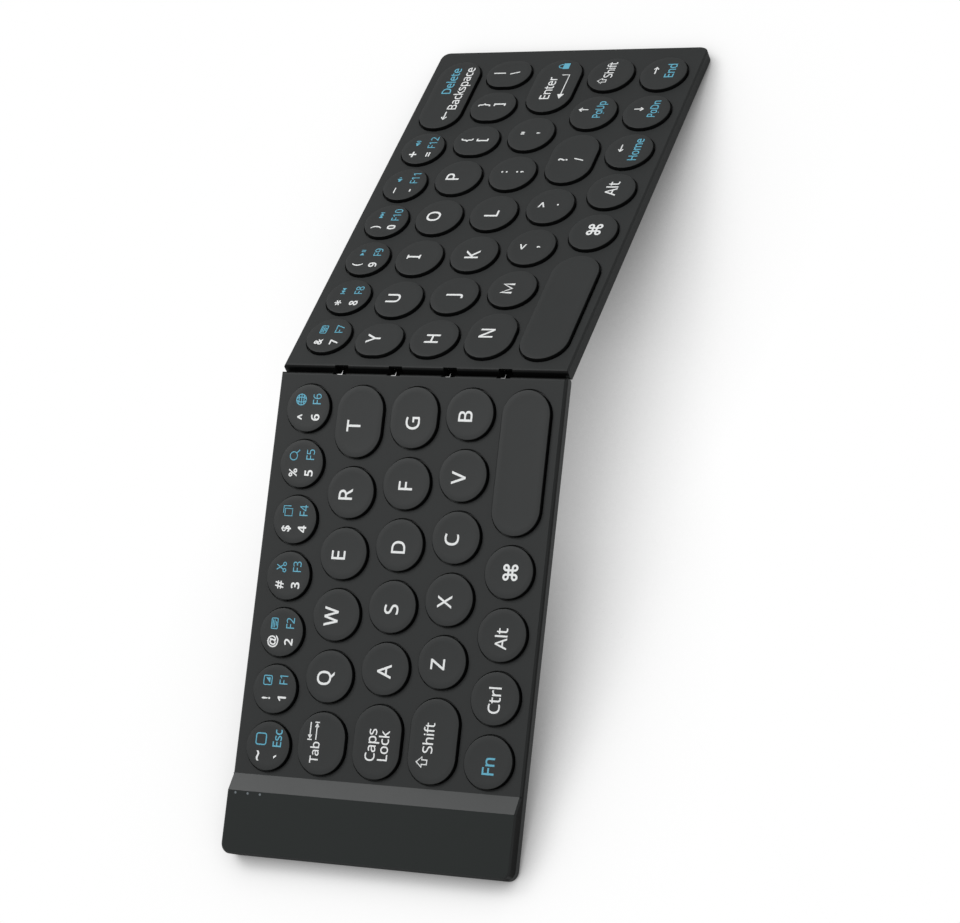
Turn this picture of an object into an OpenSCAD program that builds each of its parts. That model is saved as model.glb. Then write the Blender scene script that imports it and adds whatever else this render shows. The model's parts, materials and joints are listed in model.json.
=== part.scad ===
// Folding keyboard: two thin halves of equal length, joined by a hinge with two axes.
// It stands like a tent, on the outer ends of its halves, as far open as bend says.
// Each half is drawn flat first: x runs out from its hinge edge, y from front to rear,
// and z = 0 is its key face. The place module then tilts a half onto the hinge.

/* [Case] */
// Length of each half, from hinge edge to outer end
half_l = 140; // [138:1:150]
// Depth of the case, from front edge to rear edge
depth = 91; // [90:1:96]
// Thickness of each half without its feet
case_t = 4.6; // [4.6:0.1:5]
// Thickness of the case's side walls
wall = 1.2; // [1:0.1:1.4]
// Thickness of the bottom tray's floor
floor_t = 0.8; // [0.7:0.1:0.9]
// Thickness of the top cover
top_t = 0.8; // [0.7:0.1:0.8]
// Radius of the two outer corners of each half
corner_r = 3; // [2:0.5:3.5]
// Height of the top cover's side wall, down to the joint with the tray
rim_h = 1.6; // [1.3:0.1:2]
// Bevel round the top cover's edge
top_bevel = 0.5; // [0.3:0.1:0.8]
// Bevel round the tray's lower edge
bottom_bevel = 0.8; // [0.4:0.1:1]
// Height of the rubber feet
foot_t = 0.4; // [0.3:0.1:0.6]
// Diameter of the rubber feet
foot_d = 8; // [5:1:10]
// Distance from the middle of a foot to the nearest side of the case
foot_inset = 11; // [9:1:14]

/* [End block] */
// Length of the raised block's flat top
block_l = 18; // [18:0.5:20]
// Length of the ramp up to the block
ramp_run = 5; // [4:0.5:6]
// Thickness of the block's roof
roof_t = 1; // [0.8:0.1:1.2]
// Diameter of the indicator lenses
lens_d = 0.7; // [0.5:0.1:1]
// Distance between the indicator lenses
lens_pitch = 4; // [3:0.5:5]
// Number of indicator lenses
lens_count = 3; // [1:1:4]

/* [Keys] */
// Least width of the cover between two round openings. The round keys fill the rest.
web_w = 1.7; // [1.5:0.1:2.2]
// How much smaller a number key's opening is than a letter key's
number_less = 0.9; // [0.5:0.1:1.5]
// Width of the left Shift key's opening. Five round keys share the rest of its row.
left_shift_w = 24.8; // [23:0.1:26]
// Width of the openings of the narrow keys
narrow_w = 14; // [13.5:0.1:14.2]
// Width of the Tab key's opening
tab_w = 18.7; // [17.5:0.1:20]
// Width of the Caps Lock key's opening
caps_w = 21.9; // [20.5:0.1:22.5]
// Width of the N key's opening
n_w = 18.8; // [17.5:0.1:20]
// Height of the key tops over the cover
key_proud = 1; // [0.9:0.1:1.2]
// Gap between a key and its opening
key_gap = 0.5; // [0.3:0.1:0.6]
// Bevel round a key's top edge
key_bevel = 0.25; // [0.1:0.05:0.4]
// Thickness of a key cap's top and wall
cap_t = 0.8; // [0.6:0.1:1]
// From the front edge to the first row's openings
front_margin = 2.8; // [2.5:0.1:3]
// From the number row's openings to the rear edge
rear_margin = 3.3; // [3:0.1:4]
// From the hinge edge to the keys
hinge_margin = 3.4; // [3.4:0.1:4]
// From the left half's keys to the ramp
ramp_margin = 0.8; // [0.6:0.1:2]
// From the right half's keys to its outer end
end_margin = 5.7; // [4.5:0.1:7]
// How far the right half's number row is set in
number_inset = 0.8; // [0:0.1:1]

/* [Hinge] */
// Angle by which the halves are bent back from flat, in degrees
bend = 33; // [10:1:60]
// Gap between facing key tops when shut, less the gap over the block
shut_key_gap = 0.3; // [0.2:0.1:0.6]
// Gap over the block when shut
shut_gap = 0.2; // [0.1:0.1:0.4]
// Gap between facing feet when folded back to back
back_gap = 0.2; // [0.1:0.1:0.4]
// Diameter of the hinge pins
pin_d = 1; // [0.9:0.1:1.1]
// Running clearance round a pin in its link
pin_clear = 0.03; // [0.02:0.01:0.06]
// Thickness of a link's and a knuckle's wall round the pin
eye_t = 0.32; // [0.3:0.02:0.36]
// Width of each hinge link
link_w = 4; // [3.6:0.1:4]
// Thickness of the links' bars
bar_t = 0.5; // [0.4:0.05:0.55]
// How far the links' bars reach below the case when it lies flat, less than a foot's height
bar_dip = 0.15; // [0:0.05:0.2]
// Length of each knuckle beside a link
knuckle_l = 1.5; // [1:0.1:1.8]
// Rounding of the top cover's hinge edge
edge_round = 0.9; // [0.6:0.1:1]
// Thickness of the top cover's lip along the hinge edge
lip_t = 0.6; // [0.5:0.1:0.8]
// Clearance between the swinging edges and the plane midway between them
swing_clear = 0.05; // [0.05:0.05:0.15]

/* [Works] */
// How far a key goes down
key_travel = 1.2; // [0.8:0.1:1.3]
// Thickness of the steel key plate
plate_t = 0.3; // [0.2:0.05:0.35]
// Thickness of the switch sheet
sheet_t = 0.2; // [0.15:0.05:0.25]
// Width of the flat cables
flex_w = 2; // [1.6:0.1:2]
// Thickness of the flat cables
flex_t = 0.15; // [0.1:0.05:0.2]
// Thickness of the controller board
board_t = 0.8; // [0.6:0.1:0.8]
// Length of the controller board
board_l = 33; // [31:1:34]
// Thickness of the battery
battery_t = 3.6; // [3:0.1:3.8]
// From the front edge to the battery, which fills the space before the board's screw post
battery_y = 9; // [8:1:20]
// Travel of the power switch
switch_travel = 1.5; // [1.2:0.1:1.6]
// Diameter of the case screws
screw_d = 1.4; // [1.2:0.1:1.4]

/* [Hidden] */
$fn = 48;
// Gap beside pieces that are set in place, and beside a link in its pocket
fit = 0.2;
slot_gap = 0.15;
// Amount by which a cut passes the face that it opens
over = 1;

block_x = half_l - block_l;
ramp_x = block_x - ramp_run;
block_rise = 2 * key_proud + shut_key_gap;
face_gap = block_rise + shut_gap;
feet_gap = 2 * foot_t + back_gap;
axis_span = case_t + (face_gap + feet_gap) / 2;
axis_drop = (axis_span - face_gap) / 2;
under = case_t - axis_drop;
swing_r = axis_span / 2 - swing_clear;
axis_in = edge_round + sqrt(pow(swing_r - edge_round, 2) - pow(axis_drop - edge_round, 2));
under_cut = max(axis_in - sqrt(pow(swing_r, 2) - pow(under, 2)),
                under - sqrt(pow(swing_r, 2) - pow(axis_in, 2)));
lean = bend / 2;
reach = half_l - axis_in;
ridge_z = (reach - bottom_bevel) * sin(lean) + under * cos(lean);
centre_x = block_rise * sin(lean) / 2;

// A link is a shallow U: an arm under each axis, and a bar that joins the arms under the edges.
eye_r = pin_d / 2 + pin_clear + eye_t;
arm_in = 0.3;
arm_out = 0.5;
link_gap = 0.08;
bar_low = under + bar_dip;
bar_top = bar_low - bar_t;
slot_x = axis_in + norm([bar_low, arm_out]) + link_gap;
slot_w = link_w + 2 * slot_gap;
knuckle_end = slot_w / 2 + knuckle_l;
// Links stand at the gaps in front of these rows. The last one carries the cable.
link_rows = [1, 2, 3, 4];
cable_row = 4;
cable_end = 0.5;

floor_z = floor_t - case_t;
plate_z = floor_z + plate_t;
sheet_z = plate_z + sheet_t;
rail_w = 2.4;

flange_over = 0.25;
flange_t = 0.5;
flange_z = -top_t - fit - flange_t;
stem_r = 1.8;
// A squashed dome's height, which is where the stem stops
dome_low = 0.7;
stem_z = sheet_z + dome_low + key_travel;
dome_r = 2.8;
dome_top_r = 1.5;
dome_t = 0.4;
dome_gap = 0.05;
post_r = 1.6;
post_bore = 2.6;
screw_l = 3.2;
head_r = 1.3;
head_t = 0.45;
head_gap = 0.1;

board_x = block_x - 0.9;
board_w = half_l - wall - 4 * fit - board_x;
board_y = depth - wall - 1 - board_l;
board_z = floor_z + 0.9;
board_top = board_z + board_t;
board_mid = board_x + board_w / 2;
peg_r = 1.2;
peg_in = 2;
landing = 3;
chip = [7, 7, 0.9];
crystal = [4, 5, 1];
plug = [1.5, 4.4, 0.9];
light = [1, 0.8, 0.4];
battery_x = block_x + 0.6;
battery_w = half_l - wall - 6 * fit - battery_x;
bay_post_y = board_y - 3.8;
battery_l = bay_post_y - 3 - battery_y;
lens_x = block_x + 0.7;
lens_y = depth - 2.8;
socket_w = 8.9;
socket_h = 3.16;
socket_l = 7.3;
socket_t = 0.3;
socket_x = lens_x + lens_d / 2 + 0.35;
tongue = [6.6, 5.5, 0.7];
knob = [1.6, 3.3, 1.1];
knob_x = half_l - 3.1 - fit - knob[0];
switch_body = [4.4, 2.4, 1.6];
switch_x = half_l - 2.8 - switch_body[0];
switch_y = depth - wall - 0.5;

// Each row is a list of [start, width], counted from the left-hand end of a half's keys.
left_field = ramp_x - ramp_margin - hinge_margin;
right_field = half_l - end_margin - hinge_margin;
pitch_x = (left_field - left_shift_w) / 5;
pitch_y = (depth - front_margin - rear_margin + web_w + number_less) / 5;
hole_d = min(pitch_x, pitch_y) - web_w;
number_d = hole_d - number_less;
gap_x = pitch_x - hole_d;
gap_y = pitch_y - hole_d;
number_pitch = (left_field - number_d) / 6;
number_row = 4;
function run(n, start, w, step) = [for (i = [0:n - 1]) [start + i * step, w]];
function to_end(start, field) = [[start, field - start]];
right_space_w = right_field - 5 * pitch_x;
arrows = right_field - 2 * pitch_x + gap_x;
slash = n_w + gap_x + 3 * pitch_x;
brackets = narrow_w + gap_x + 4 * pitch_x;
number_end = number_inset + 6 * number_pitch;
left_rows = [
    concat(run(4, 0, hole_d, pitch_x), to_end(4 * pitch_x, left_field)),
    concat([[0, left_shift_w]], run(5, left_shift_w + gap_x, hole_d, pitch_x)),
    concat([[0, caps_w]], run(4, caps_w + gap_x, hole_d, pitch_x),
           to_end(caps_w + gap_x + 4 * pitch_x, left_field)),
    concat([[0, tab_w]], run(4, tab_w + gap_x, hole_d, pitch_x),
           to_end(tab_w + gap_x + 4 * pitch_x, left_field)),
    run(7, 0, number_d, number_pitch)
];
right_rows = [
    concat([[0, right_space_w]], run(5, right_space_w + gap_x, hole_d, pitch_x)),
    concat([[0, n_w]], run(3, n_w + gap_x, hole_d, pitch_x), [[slash, arrows - gap_x - slash]],
           run(2, arrows, hole_d, pitch_x)),
    concat(run(6, 0, hole_d, pitch_x), to_end(6 * pitch_x, right_field)),
    concat([[0, narrow_w]], run(4, narrow_w + gap_x, hole_d, pitch_x),
           run(2, brackets, narrow_w, narrow_w + gap_x),
           to_end(brackets + 2 * (narrow_w + gap_x), right_field)),
    concat(run(6, number_inset, number_d, number_pitch), to_end(number_end, right_field))
];

// A cell is one key's opening in its half's own frame: [middle x, middle y, width, height].
function rows(side) = side == "left" ? left_rows : right_rows;
function across(side, f) = hinge_margin + (side == "left" ? left_field - f : f);
function cell(side, r, i) = let (k = rows(side)[r][i], h = r == number_row ? number_d : hole_d)
    [across(side, k[0] + k[1] / 2), front_margin + r * pitch_y + h / 2, k[1], h];
function cells(side) = [for (r = [0:4], i = [0:len(rows(side)[r]) - 1]) cell(side, r, i)];
// The line midway between row r and the row in front of it
function between(r) = front_margin + r * pitch_y - gap_y / 2;
// A post stands between the gap after key i of row r and the gap after key j of the row in front.
function post(side, r, i, j) =
    [across(side, (rows(side)[r][i + 1][0] + rows(side)[r - 1][j + 1][0] - gap_x) / 2), between(r)];
block_posts = [[board_mid, wall + 3.5], [board_mid, bay_post_y]];
function posts(side) = concat(
    [for (r = [2, 3], i = [1, 3]) post(side, r, i, i)],
    side == "left" ? block_posts : [post(side, 3, 5, 5), post(side, 1, 5, 4)]);

// The flat cables come from the hinge axis, dip into a groove in the floor, and rise to their ends.
channel_w = flex_w + 0.6;
flex_z = floor_z - flex_t;
flex_out = slot_x - fit;
flex_down = flex_out + 3.5;
tail_x = hinge_margin + hole_d + pitch_x / 2;
flex_way = [[axis_in + flex_t, -axis_drop], [flex_out, -axis_drop], [flex_down, flex_z]];
left_flex = concat(flex_way, [[ramp_x + fit, flex_z], [board_x - fit, board_top + flex_t / 2],
                              [board_x + landing, board_top + flex_t / 2]]);
right_flex = concat(flex_way, [[tail_x - landing, flex_z], [tail_x, sheet_z + flex_t / 2],
                               [tail_x + landing, sheet_z + flex_t / 2]]);

left_letters = [["z", "x", "c", "v", "b"], ["a", "s", "d", "f", "g"], ["q", "w", "e", "r", "t"]];
right_letters = [["n", "m"], ["h", "j", "k", "l"], ["y", "u", "i", "o", "p"]];
// Each entry is a key node: its name, its half, and the [row, number] of each key in it.
KEYS = concat(
    [for (r = [0:2], i = [0:4]) [str("key_", left_letters[r][i]), "left", [[r + 1, i + 1]]]],
    [["key_space_left", "left", [[0, 4]]],
     ["keys_left_edge", "left", [[0, 0], [0, 1], [0, 2], [0, 3], [1, 0], [2, 0], [3, 0]]],
     ["keys_left_numbers", "left", [for (i = [0:6]) [number_row, i]]]],
    [for (r = [0:2], i = [0:len(right_letters[r]) - 1])
        [str("key_", right_letters[r][i]), "right", [[r + 1, i]]]],
    [["key_space_right", "right", [[0, 0]]],
     ["key_enter", "right", [[2, 6]]],
     ["keys_right_edge", "right", concat([for (i = [1:5]) [0, i]], [for (i = [2:6]) [1, i]],
                                         [[2, 4], [2, 5], [3, 5], [3, 6], [3, 7]])],
     ["keys_right_numbers", "right", [for (i = [0:6]) [number_row, i]]]]
);

// Tilts a half onto its own hinge axis
module place(side) {
    s = side == "left" ? -1 : 1;
    translate([centre_x + s * axis_span / 2, -depth / 2, ridge_z])
        rotate([0, s * lean, 0])
            mirror([side == "left" ? 1 : 0, 0, 0])
                translate([-axis_in, 0, axis_drop])
                    children();
}

// The hinge's own frame: midway between its two axes, and level with them
module place_hinge() {
    translate([centre_x, -depth / 2, ridge_z])
        children();
}

// Extrudes an x-z outline from y = y0 to y = y1
module along_y(y0, y1) {
    translate([0, y1, 0])
        rotate([90, 0, 0])
            linear_extrude(y1 - y0)
                children();
}

// Extrudes a y-z outline from x = x0 to x = x1
module along_x(x0, x1) {
    translate([x0, 0, 0])
        rotate([90, 0, 90])
            linear_extrude(x1 - x0)
                children();
}

module rod(x, z, y0, y1, r) {
    translate([x, y1, z])
        rotate([90, 0, 0])
            cylinder(h = y1 - y0, r = r);
}

// The corners of a slab's side view, with a bevel at its bottom and at its top where asked
function low_edge(a, b, z, c) =
    c == 0 ? [[a, z], [b, z]] : [[a, z + c], [a + c, z], [b - c, z], [b, z + c]];
function high_edge(a, b, z, c) =
    c == 0 ? [[b, z], [a, z]] : [[b, z - c], [b - c, z], [a + c, z], [a, z - c]];
function half_edge(r, z0, z1, low_c, high_c) = concat(
    [[0, z0], [r - low_c, z0]], low_c == 0 ? [] : [[r, z0 + low_c]],
    high_c == 0 ? [] : [[r, z1 - high_c]], [[r - high_c, z1], [0, z1]]);

// A slab from the hinge edge to x = l, with two rounded outer corners and bevelled edges
module slab(l, w, z0, z1, r, low_c, high_c) {
    along_x(0, l - r)
        polygon(concat(low_edge(0, w, z0, low_c), high_edge(0, w, z1, high_c)));
    translate([l - r, 0, 0])
        along_y(r, w - r)
            polygon(half_edge(r, z0, z1, low_c, high_c));
    for (y = [r, w - r])
        translate([l - r, y, 0])
            rotate_extrude()
                polygon(half_edge(r, z0, z1, low_c, high_c));
}

// The space inside the walls, from x = x0 to the outer wall
module hollow(x0, z0, z1) {
    translate([x0, wall, 0])
        slab(half_l - wall - x0, depth - 2 * wall, z0, z1, corner_r - wall / 2, 0, 0);
}

// Rounds the upper hinge edge and bevels the lower one, so that the halves' edges swing clear
module hinge_edge_cut() {
    along_y(-over, depth + over) {
        polygon([[-over, -case_t - over], [under_cut, -case_t - over], [under_cut, -case_t],
                 [0, under_cut - case_t], [-over, under_cut - case_t]]);
        difference() {
            translate([-over, -edge_round])
                square([edge_round + over, edge_round + over]);
            translate([edge_round, -edge_round])
                circle(r = edge_round);
            translate([edge_round, -edge_round])
                square(edge_round + over);
        }
    }
}

// The pockets in which the links swing, from shut to back to back. They nick the hinge edge.
module link_pockets() {
    for (r = link_rows)
        along_y(between(r) - slot_w / 2, between(r) + slot_w / 2)
            translate([axis_in, -axis_drop])
                polygon([[-axis_in - over, axis_drop + over], [link_gap - bar_top, axis_drop + over],
                         [link_gap - bar_top, arm_in + link_gap], [-eye_r, arm_in + link_gap],
                         [-eye_r, eye_r + link_gap], [eye_r, eye_r + link_gap],
                         [eye_r, arm_out + link_gap], [slot_x - axis_in, arm_out + link_gap],
                         [slot_x - axis_in, -case_t], [-axis_in - over, -case_t]]);
}

// A circle, or a strip with full-round ends where one side is longer
module stadium(w, h) {
    r = min(w, h) / 2;
    for (s = [-1, 1])
        translate([s * (w / 2 - r), s * (h / 2 - r)])
            circle(r = r);
    if (w != h)
        square([w > h ? w - h : w, w > h ? h : h - w], center = true);
}

// The same outline as a solid with a bevelled top edge
module stadium_block(w, h, z0, z1, bevel) {
    r = min(w, h) / 2;
    for (s = [-1, 1])
        translate([s * (w / 2 - r), s * (h / 2 - r), 0])
            rotate_extrude()
                polygon(half_edge(r, z0, z1, 0, bevel));
    if (w > h)
        along_x((h - w) / 2, (w - h) / 2)
            polygon(concat(low_edge(-r, r, z0, 0), high_edge(-r, r, z1, bevel)));
    if (h > w)
        along_y((w - h) / 2, (h - w) / 2)
            polygon(concat(low_edge(-r, r, z0, 0), high_edge(-r, r, z1, bevel)));
}

module key_openings(side) {
    translate([0, 0, -top_t - over])
        linear_extrude(top_t + 2 * over)
            for (c = cells(side))
                translate([c[0], c[1]])
                    stadium(c[2], c[3]);
}

// Posts reach down from the cover to the tray's floor, and take the case screws from below.
module screw_posts(side) {
    for (p = posts(side))
        translate([p[0], p[1], floor_z])
            difference() {
                cylinder(h = (p[0] > ramp_x && side == "left" ? block_rise - roof_t : -top_t) - floor_z,
                         r = post_r);
                translate([0, 0, -over])
                    cylinder(h = post_bore + over, d = screw_d);
            }
}

// The openings for the charging socket and the power switch, in the rear walls of both covers
module port_openings() {
    translate([socket_x + socket_w / 2, 0, board_top + socket_h / 2])
        along_y(depth - wall - over, depth + over)
            stadium(socket_w + 2 * fit, socket_h + fit);
    translate([knob_x - switch_travel - fit, depth - wall - over,
               board_top + switch_body[2] / 2 - knob[2] / 2 - fit])
        cube([knob[0] + switch_travel + 2 * fit, wall + 2 * over, knob[2] + 2 * fit]);
}

// Bevels the two side edges of the ramp
module ramp_bevels() {
    bar = top_bevel * sqrt(2);
    for (y = [0, depth])
        translate([ramp_x, y, 0])
            rotate([0, -atan(block_rise / ramp_run), 0])
                rotate([45, 0, 0])
                    translate([0, -bar / 2, -bar / 2])
                        cube([norm([ramp_run, block_rise]), bar, bar]);
}

module raised_block() {
    difference() {
        intersection() {
            slab(half_l, depth, -rim_h, block_rise, corner_r, 0, top_bevel);
            along_y(-over, depth + over)
                polygon([[ramp_x, -rim_h], [ramp_x, 0], [block_x, block_rise],
                         [half_l, block_rise], [half_l, -rim_h]]);
        }
        ramp_bevels();
    }
}

// The space under the ramp and the block's roof
module block_hollow() {
    inset = roof_t / 2;
    intersection() {
        along_y(wall, depth - wall)
            polygon([[ramp_x + inset, -rim_h - over], [ramp_x + inset, -top_t],
                     [block_x + inset, block_rise - roof_t], [half_l, block_rise - roof_t],
                     [half_l, -rim_h - over]]);
        hollow(0, -rim_h - over, block_rise);
    }
}

module left_top_cover() {
    color([0.2, 0.21, 0.21])
        place("left") {
            difference() {
                union() {
                    slab(half_l, depth, -rim_h, 0, corner_r, 0, top_bevel);
                    raised_block();
                }
                hollow(lip_t, -rim_h - over, -top_t);
                block_hollow();
                key_openings("left");
                hinge_edge_cut();
                link_pockets();
                port_openings();
                for (i = [0:lens_count - 1])
                    translate([lens_x, lens_y - i * lens_pitch, 0])
                        cylinder(h = block_rise + over, d = lens_d);
            }
            screw_posts("left");
        }
}

module right_top_cover() {
    color([0.23, 0.23, 0.23])
        place("right") {
            difference() {
                slab(half_l, depth, -rim_h, 0, corner_r, 0, top_bevel);
                hollow(lip_t, -rim_h - over, -top_t);
                key_openings("right");
                hinge_edge_cut();
                link_pockets();
            }
            screw_posts("right");
        }
}

module tray(side) {
    difference() {
        slab(half_l, depth, -case_t, -rim_h, corner_r, bottom_bevel, 0);
        hollow(-over, floor_z, -rim_h + over);
        hinge_edge_cut();
        link_pockets();
        translate([0, between(cable_row) - channel_w / 2, flex_z - flex_t / 2])
            cube([side == "left" ? ramp_x + landing : tail_x, channel_w, case_t]);
        for (p = posts(side))
            translate([p[0], p[1], -case_t - over]) {
                cylinder(h = over + head_t, r = head_r + head_gap);
                cylinder(h = floor_t + 2 * over, r = screw_d / 2 + head_gap);
            }
        if (side == "left")
            port_openings();
    }
}

module left_bottom_tray() {
    color([0.26, 0.26, 0.26])
        place("left") {
            tray("left");
            for (x = [board_x + peg_in, board_x + board_w - peg_in],
                 y = [board_y + peg_in, board_y + board_l - peg_in])
                translate([x, y, floor_z])
                    cylinder(h = board_z - floor_z, r = peg_r);
        }
}

module right_bottom_tray() {
    color([0.26, 0.26, 0.26])
        place("right")
            tray("right");
}

// A rail fills the hinge edge between the links, and carries a knuckle on each side of a link.
module hinge_rail() {
    difference() {
        union() {
            along_y(wall + fit, depth - wall - fit)
                polygon([[0, floor_z], [rail_w, floor_z], [rail_w, -top_t], [lip_t, -top_t],
                         [lip_t, -rim_h], [0, -rim_h]]);
            for (r = link_rows)
                rod(axis_in, -axis_drop, between(r) - knuckle_end, between(r) + knuckle_end, eye_r);
        }
        hinge_edge_cut();
        for (r = link_rows) {
            translate([-over, between(r) - slot_w / 2, -case_t])
                cube([slot_x + over, slot_w, case_t]);
            rod(axis_in, -axis_drop, between(r) - knuckle_end, between(r) + knuckle_end, pin_d / 2);
        }
    }
}

module left_hinge_rail() {
    color([0.05, 0.05, 0.05])
        place("left")
            hinge_rail();
}

module right_hinge_rail() {
    color([0.05, 0.05, 0.05])
        place("right")
            hinge_rail();
}

// A long pin goes through each plain link. Two short ones leave the cable's way free.
module hinge_pins() {
    for (r = link_rows)
        if (r == cable_row) {
            rod(axis_in, -axis_drop, between(r) - knuckle_end, between(r) - channel_w / 2, pin_d / 2);
            rod(axis_in, -axis_drop, between(r) + channel_w / 2, between(r) + knuckle_end, pin_d / 2);
        } else {
            rod(axis_in, -axis_drop, between(r) - knuckle_end, between(r) + knuckle_end, pin_d / 2);
        }
}

module left_hinge_pins() {
    color([0.6, 0.6, 0.62])
        place("left")
            hinge_pins();
}

module right_hinge_pins() {
    color([0.6, 0.6, 0.62])
        place("right")
            hinge_pins();
}

module hinge_link() {
    difference() {
        along_y(-link_w / 2, link_w / 2) {
            for (s = [-1, 1])
                translate([s * axis_span / 2, 0]) {
                    circle(r = eye_r);
                    translate([s > 0 ? -arm_in : -arm_out, -bar_low])
                        square([arm_in + arm_out, bar_low]);
                }
            translate([-axis_span / 2, -bar_low])
                square([axis_span, bar_t]);
        }
        for (s = [-1, 1])
            rod(s * axis_span / 2, 0, -link_w, link_w, pin_d / 2 + pin_clear);
    }
}

// Four links join the two axes. The cable's one is open between its outer arms.
module hinge_links() {
    color([0.06, 0.06, 0.06])
        place_hinge()
            for (r = link_rows)
                translate([0, between(r), 0])
                    difference() {
                        hinge_link();
                        if (r == cable_row) {
                            translate([-axis_span, -channel_w / 2, -bar_top])
                                cube([2 * axis_span, channel_w, 2 * bar_top]);
                            for (s = [-1, 1])
                                translate([s * axis_span / 2 - cable_end, -channel_w / 2, -2 * bar_low])
                                    cube([2 * cable_end, channel_w, 2 * bar_low]);
                        }
                    }
}

// An outline inside the walls, clear of the rail, the pockets, the cable and the screw posts
module sheet_outline(side) {
    x1 = side == "left" ? ramp_x + fit : half_l - wall - fit;
    y0 = wall + fit;
    y1 = depth - wall - fit;
    cut = 0.6 * corner_r;
    difference() {
        polygon([[rail_w + fit, y0], [x1 - cut, y0], [x1, y0 + cut], [x1, y1 - cut], [x1 - cut, y1],
                 [rail_w + fit, y1]]);
        for (r = link_rows)
            translate([0, between(r) - slot_w / 2 - fit])
                square([slot_x + fit, slot_w + 2 * fit]);
        translate([0, between(cable_row) - channel_w / 2])
            square([flex_down + fit, channel_w]);
        if (side == "right")
            translate([tail_x - landing, between(cable_row) - channel_w / 2])
                square([landing, channel_w]);
        for (p = posts(side))
            translate([p[0], p[1]])
                circle(r = post_r + fit);
    }
}

module left_key_plate() {
    color([0.6, 0.62, 0.63])
        place("left")
            translate([0, 0, floor_z])
                linear_extrude(plate_t)
                    sheet_outline("left");
}

module right_key_plate() {
    color([0.6, 0.62, 0.63])
        place("right")
            translate([0, 0, floor_z])
                linear_extrude(plate_t)
                    sheet_outline("right");
}

// The left sheet has a tail that goes under the board.
module left_switch_sheet() {
    color([0.75, 0.78, 0.7])
        place("left")
            translate([0, 0, plate_z])
                linear_extrude(sheet_t) {
                    sheet_outline("left");
                    translate([ramp_x, board_y + 2 * peg_in + peg_r])
                        square([board_x + landing - ramp_x, 2 * peg_in]);
                }
}

module right_switch_sheet() {
    color([0.75, 0.78, 0.7])
        place("right")
            translate([0, 0, plate_z])
                linear_extrude(sheet_t)
                    sheet_outline("right");
}

// A hollow rubber dome stands on the sheet under each key's stem.
module domes(side) {
    h = stem_z - dome_gap - sheet_z;
    for (c = cells(side))
        translate([c[0], c[1], sheet_z])
            rotate_extrude()
                polygon([[dome_r, 0], [dome_top_r, h], [0, h], [0, h - dome_t],
                         [dome_top_r - dome_t, h - dome_t], [dome_r - dome_t, 0]]);
}

module left_domes() {
    color([0.8, 0.8, 0.78])
        place("left")
            domes("left");
}

module right_domes() {
    color([0.8, 0.8, 0.78])
        place("right")
            domes("right");
}

module ribbon(path) {
    up = [0, flex_t / 2];
    along_y(between(cable_row) - flex_w / 2, between(cable_row) + flex_w / 2)
        polygon(concat([for (p = path) p - up], [for (i = [len(path) - 1:-1:0]) path[i] + up]));
}

module left_flex_cable() {
    color([0.75, 0.45, 0.15])
        place("left")
            ribbon(left_flex);
}

module right_flex_cable() {
    color([0.75, 0.45, 0.15])
        place("right")
            ribbon(right_flex);
}

// Between the halves the cable lies on the open link's bar.
module hinge_flex_cable() {
    color([0.75, 0.45, 0.15])
        place_hinge()
            along_y(between(cable_row) - flex_w / 2, between(cable_row) + flex_w / 2) {
                translate([-axis_span / 2 - flex_t / 2, -bar_top])
                    square([axis_span + flex_t, flex_t]);
                for (s = [-1, 1])
                    translate([s * axis_span / 2 - flex_t / 2, -bar_top])
                        square([flex_t, bar_top - flex_t]);
            }
}

module rubber_feet() {
    for (x = [foot_inset + rail_w, half_l - foot_inset], y = [foot_inset, depth - foot_inset])
        translate([x, y, -case_t - foot_t])
            cylinder(h = foot_t, d = foot_d);
}

module left_feet() {
    color([0.08, 0.08, 0.08])
        place("left")
            rubber_feet();
}

module right_feet() {
    color([0.08, 0.08, 0.08])
        place("right")
            rubber_feet();
}

module screws(side) {
    for (p = posts(side))
        translate([p[0], p[1], -case_t]) {
            cylinder(h = head_t, r = head_r);
            cylinder(h = screw_l, d = screw_d);
        }
}

module left_screws() {
    color([0.3, 0.3, 0.32])
        place("left")
            screws("left");
}

module right_screws() {
    color([0.3, 0.3, 0.32])
        place("right")
            screws("right");
}

// The board carries a chip, a crystal, the cable's plug, the lights and the switch's body.
module controller_board() {
    color([0.05, 0.3, 0.15])
        place("left") {
            translate([board_x, board_y, board_z])
                cube([board_w, board_l, board_t]);
            translate([board_x + 2 * landing, between(cable_row) - chip[1] / 2, board_top])
                cube(chip);
            translate([board_mid, board_y + peg_in, board_top])
                cube(crystal);
            translate([board_x + landing, between(cable_row) - plug[1] / 2, board_top])
                cube(plug);
            for (i = [0:lens_count - 1])
                translate([lens_x - light[0] / 2, lens_y - i * lens_pitch - light[1] / 2, board_top])
                    cube(light);
            translate([switch_x, switch_y - switch_body[1], board_top])
                difference() {
                    cube(switch_body);
                    translate([knob_x - switch_travel - fit - switch_x, fit,
                               switch_body[2] / 2 - knob[2] / 2 - fit / 2])
                        cube([knob[0] + switch_travel + 2 * fit, switch_body[1], knob[2] + fit]);
                }
        }
}

module battery() {
    color([0.7, 0.7, 0.75])
        place("left")
            translate([battery_x, battery_y, floor_z])
                cube([battery_w, battery_l, battery_t]);
}

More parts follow.
